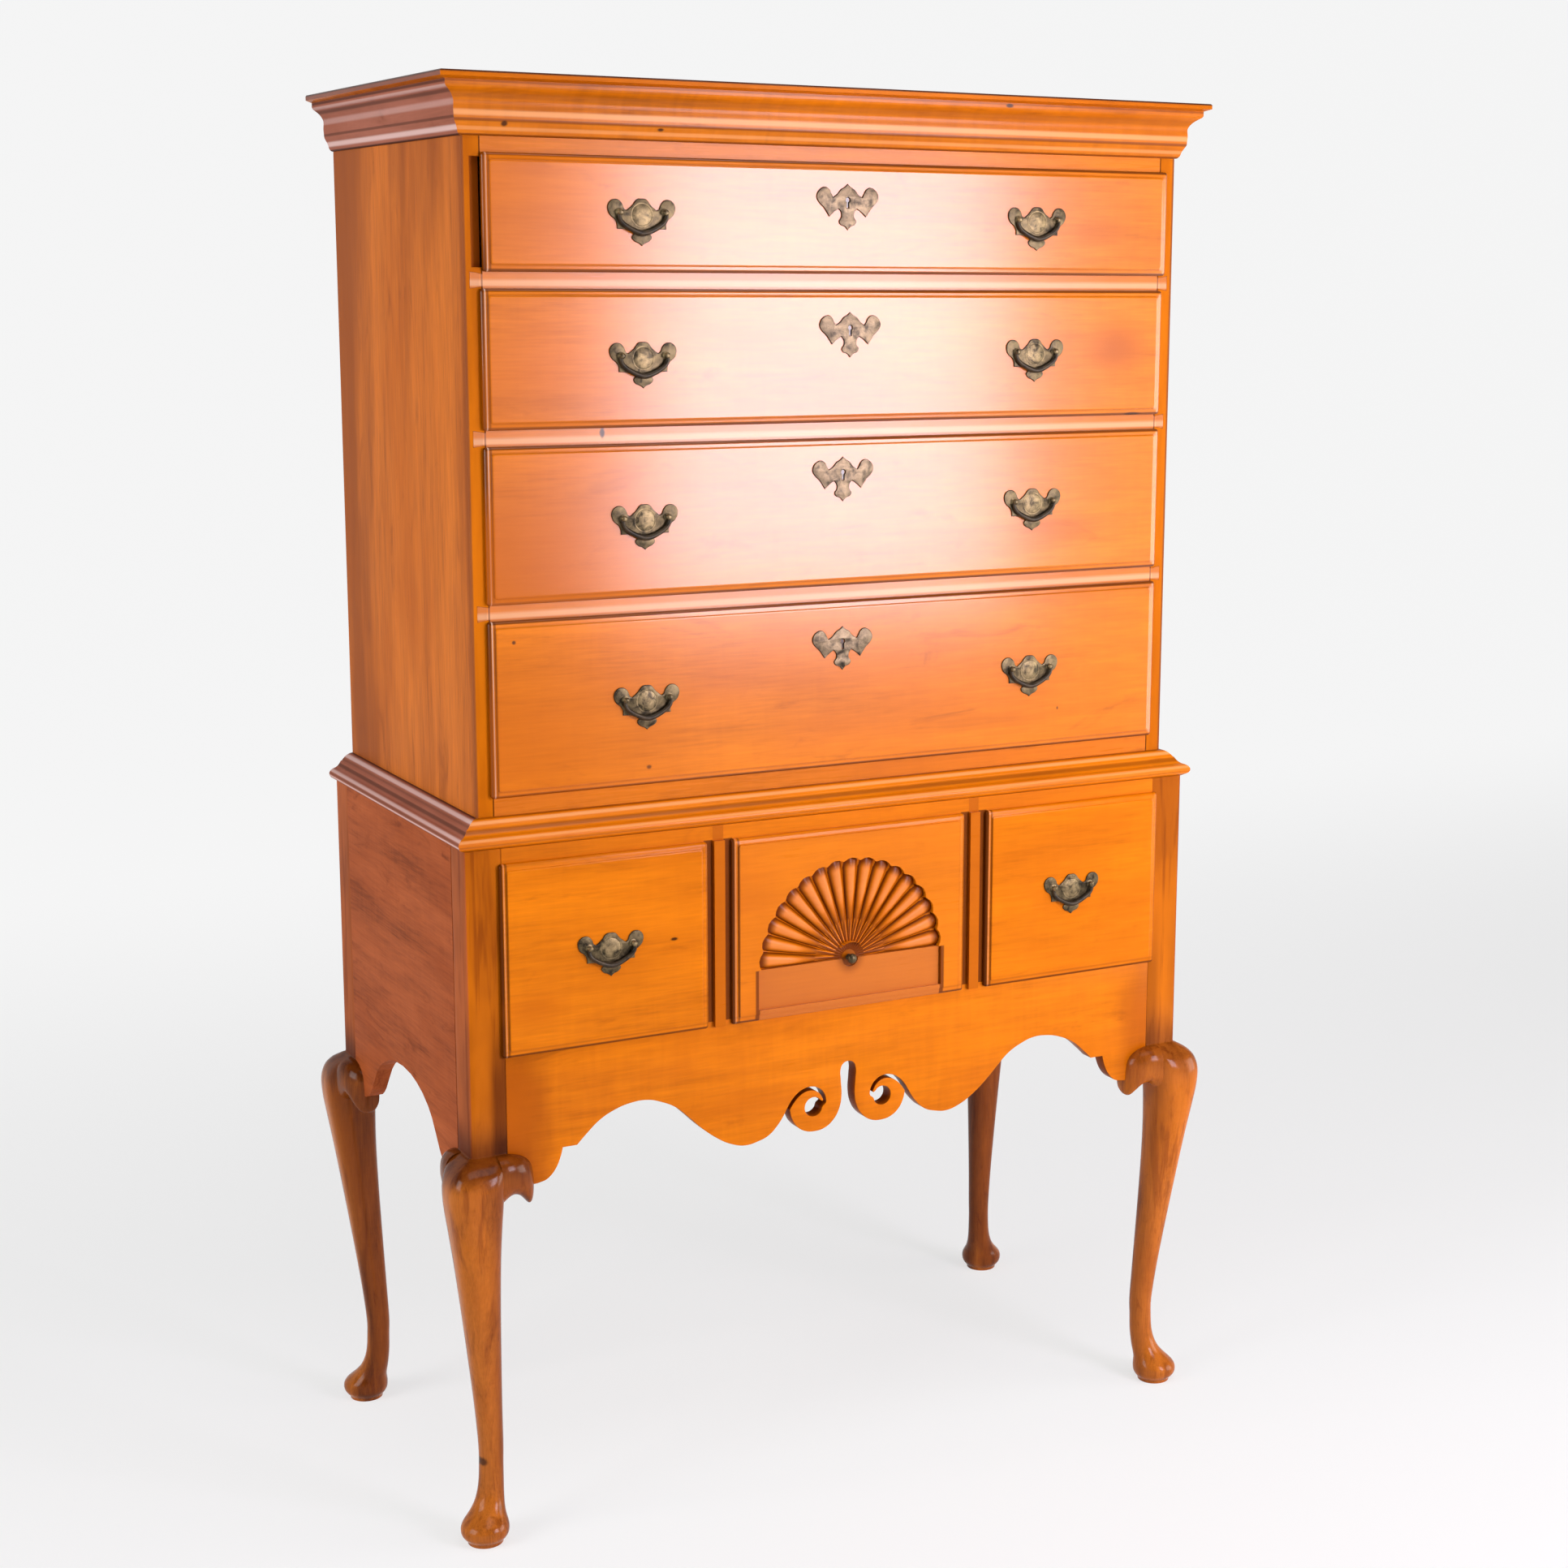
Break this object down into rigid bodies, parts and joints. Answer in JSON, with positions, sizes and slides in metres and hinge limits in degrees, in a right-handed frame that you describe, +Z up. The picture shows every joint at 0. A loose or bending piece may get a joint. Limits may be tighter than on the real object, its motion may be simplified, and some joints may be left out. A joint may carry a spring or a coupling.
{
  "type": "highboy",
  "caption": "Flat-top highboy: a chest of wide lipped drawers on a case of small drawers, with a carved fan, scrolled apron, cabriole legs and brass bail pulls.",
  "frame": {"origin": "on the floor, under the middle of the legs", "axes": "+X to the right as one faces the drawers, +Y to the back, +Z up"},
  "size_m": [1.0624, 0.5444, 1.72],
  "materials": {
    "front": "glossy honey-coloured maple",
    "side": "glossy brown-orange maple",
    "leg": "glossy dark maple",
    "inside": "bare pine",
    "brass": "aged brass"
  },
  "bodies": {
    "case": {"bottom_board": "front", "cornice_moulding": "front", "drawer_divider_1": "front", "drawer_divider_2": "front", "drawer_divider_3": "front", "front_apron": "front", "leg_back_left": "leg", "leg_back_right": "leg", "leg_front_left": "leg", "leg_front_right": "leg", "lower_back": "inside", "lower_front_frame": "front", "lower_left_side": "side", "lower_right_side": "side", "lower_runner_frame": "inside", "top_board": "side", "top_rail": "front", "upper_back": "inside", "upper_left_side": "side", "upper_right_side": "side", "waist_moulding": "front"},
    "upper_drawer_1": {"upper_drawer_1_box": "inside", "upper_drawer_1_escutcheon": "brass", "upper_drawer_1_front": "front", "upper_drawer_1_left_plate": "brass", "upper_drawer_1_right_plate": "brass"},
    "upper_drawer_1_left_bail": {"upper_drawer_1_left_bail": "brass"},
    "upper_drawer_1_right_bail": {"upper_drawer_1_right_bail": "brass"},
    "upper_drawer_2": {"upper_drawer_2_box": "inside", "upper_drawer_2_escutcheon": "brass", "upper_drawer_2_front": "front", "upper_drawer_2_left_plate": "brass", "upper_drawer_2_right_plate": "brass"},
    "upper_drawer_2_left_bail": {"upper_drawer_2_left_bail": "brass"},
    "upper_drawer_2_right_bail": {"upper_drawer_2_right_bail": "brass"},
    "upper_drawer_3": {"upper_drawer_3_box": "inside", "upper_drawer_3_escutcheon": "brass", "upper_drawer_3_front": "front", "upper_drawer_3_left_plate": "brass", "upper_drawer_3_right_plate": "brass"},
    "upper_drawer_3_left_bail": {"upper_drawer_3_left_bail": "brass"},
    "upper_drawer_3_right_bail": {"upper_drawer_3_right_bail": "brass"},
    "upper_drawer_4": {"upper_drawer_4_box": "inside", "upper_drawer_4_escutcheon": "brass", "upper_drawer_4_front": "front", "upper_drawer_4_left_plate": "brass", "upper_drawer_4_right_plate": "brass"},
    "upper_drawer_4_left_bail": {"upper_drawer_4_left_bail": "brass"},
    "upper_drawer_4_right_bail": {"upper_drawer_4_right_bail": "brass"},
    "lower_left_drawer": {"lower_left_drawer_box": "inside", "lower_left_drawer_front": "front", "lower_left_drawer_plate": "brass"},
    "lower_left_drawer_bail": {"lower_left_drawer_bail": "brass"},
    "lower_centre_drawer": {"lower_centre_drawer_box": "inside", "lower_centre_drawer_front": "front", "fan_knob": "brass"},
    "lower_right_drawer": {"lower_right_drawer_box": "inside", "lower_right_drawer_front": "front", "lower_right_drawer_plate": "brass"},
    "lower_right_drawer_bail": {"lower_right_drawer_bail": "brass"}
  },
  "joints": [
    {"name": "upper_drawer_1_slide", "type": "slide", "parent": "case", "child": "upper_drawer_1", "axis": [0, -1, 0], "range_m": [0, 0.38]},
    {"name": "upper_drawer_1_left_bail_hinge", "type": "hinge", "parent": "upper_drawer_1", "child": "upper_drawer_1_left_bail", "pos_m": [-0.266, -0.2352, 1.5732], "axis": [-1, 0, 0], "range_deg": [0, 160]},
    {"name": "upper_drawer_1_right_bail_hinge", "type": "hinge", "parent": "upper_drawer_1", "child": "upper_drawer_1_right_bail", "pos_m": [0.266, -0.2352, 1.5732], "axis": [-1, 0, 0], "range_deg": [0, 160]},
    {"name": "upper_drawer_2_slide", "type": "slide", "parent": "case", "child": "upper_drawer_2", "axis": [0, -1, 0], "range_m": [0, 0.38]},
    {"name": "upper_drawer_2_left_bail_hinge", "type": "hinge", "parent": "upper_drawer_2", "child": "upper_drawer_2_left_bail", "pos_m": [-0.266, -0.2352, 1.41246], "axis": [-1, 0, 0], "range_deg": [0, 160]},
    {"name": "upper_drawer_2_right_bail_hinge", "type": "hinge", "parent": "upper_drawer_2", "child": "upper_drawer_2_right_bail", "pos_m": [0.266, -0.2352, 1.41246], "axis": [-1, 0, 0], "range_deg": [0, 160]},
    {"name": "upper_drawer_3_slide", "type": "slide", "parent": "case", "child": "upper_drawer_3", "axis": [0, -1, 0], "range_m": [0, 0.38]},
    {"name": "upper_drawer_3_left_bail_hinge", "type": "hinge", "parent": "upper_drawer_3", "child": "upper_drawer_3_left_bail", "pos_m": [-0.266, -0.2352, 1.22634], "axis": [-1, 0, 0], "range_deg": [0, 160]},
    {"name": "upper_drawer_3_right_bail_hinge", "type": "hinge", "parent": "upper_drawer_3", "child": "upper_drawer_3_right_bail", "pos_m": [0.266, -0.2352, 1.22634], "axis": [-1, 0, 0], "range_deg": [0, 160]},
    {"name": "upper_drawer_4_slide", "type": "slide", "parent": "case", "child": "upper_drawer_4", "axis": [0, -1, 0], "range_m": [0, 0.38]},
    {"name": "upper_drawer_4_left_bail_hinge", "type": "hinge", "parent": "upper_drawer_4", "child": "upper_drawer_4_left_bail", "pos_m": [-0.266, -0.2352, 1.01398], "axis": [-1, 0, 0], "range_deg": [0, 160]},
    {"name": "upper_drawer_4_right_bail_hinge", "type": "hinge", "parent": "upper_drawer_4", "child": "upper_drawer_4_right_bail", "pos_m": [0.266, -0.2352, 1.01398], "axis": [-1, 0, 0], "range_deg": [0, 160]},
    {"name": "lower_left_drawer_slide", "type": "slide", "parent": "case", "child": "lower_left_drawer", "axis": [0, -1, 0], "range_m": [0, 0.38]},
    {"name": "lower_left_drawer_bail_hinge", "type": "hinge", "parent": "lower_left_drawer", "child": "lower_left_drawer_bail", "pos_m": [-0.324, -0.2542, 0.72546], "axis": [-1, 0, 0], "range_deg": [0, 160]},
    {"name": "lower_centre_drawer_slide", "type": "slide", "parent": "case", "child": "lower_centre_drawer", "axis": [0, -1, 0], "range_m": [0, 0.38]},
    {"name": "lower_right_drawer_slide", "type": "slide", "parent": "case", "child": "lower_right_drawer", "axis": [0, -1, 0], "range_m": [0, 0.38]},
    {"name": "lower_right_drawer_bail_hinge", "type": "hinge", "parent": "lower_right_drawer", "child": "lower_right_drawer_bail", "pos_m": [0.324, -0.2542, 0.72546], "axis": [-1, 0, 0], "range_deg": [0, 160]}
  ]
}
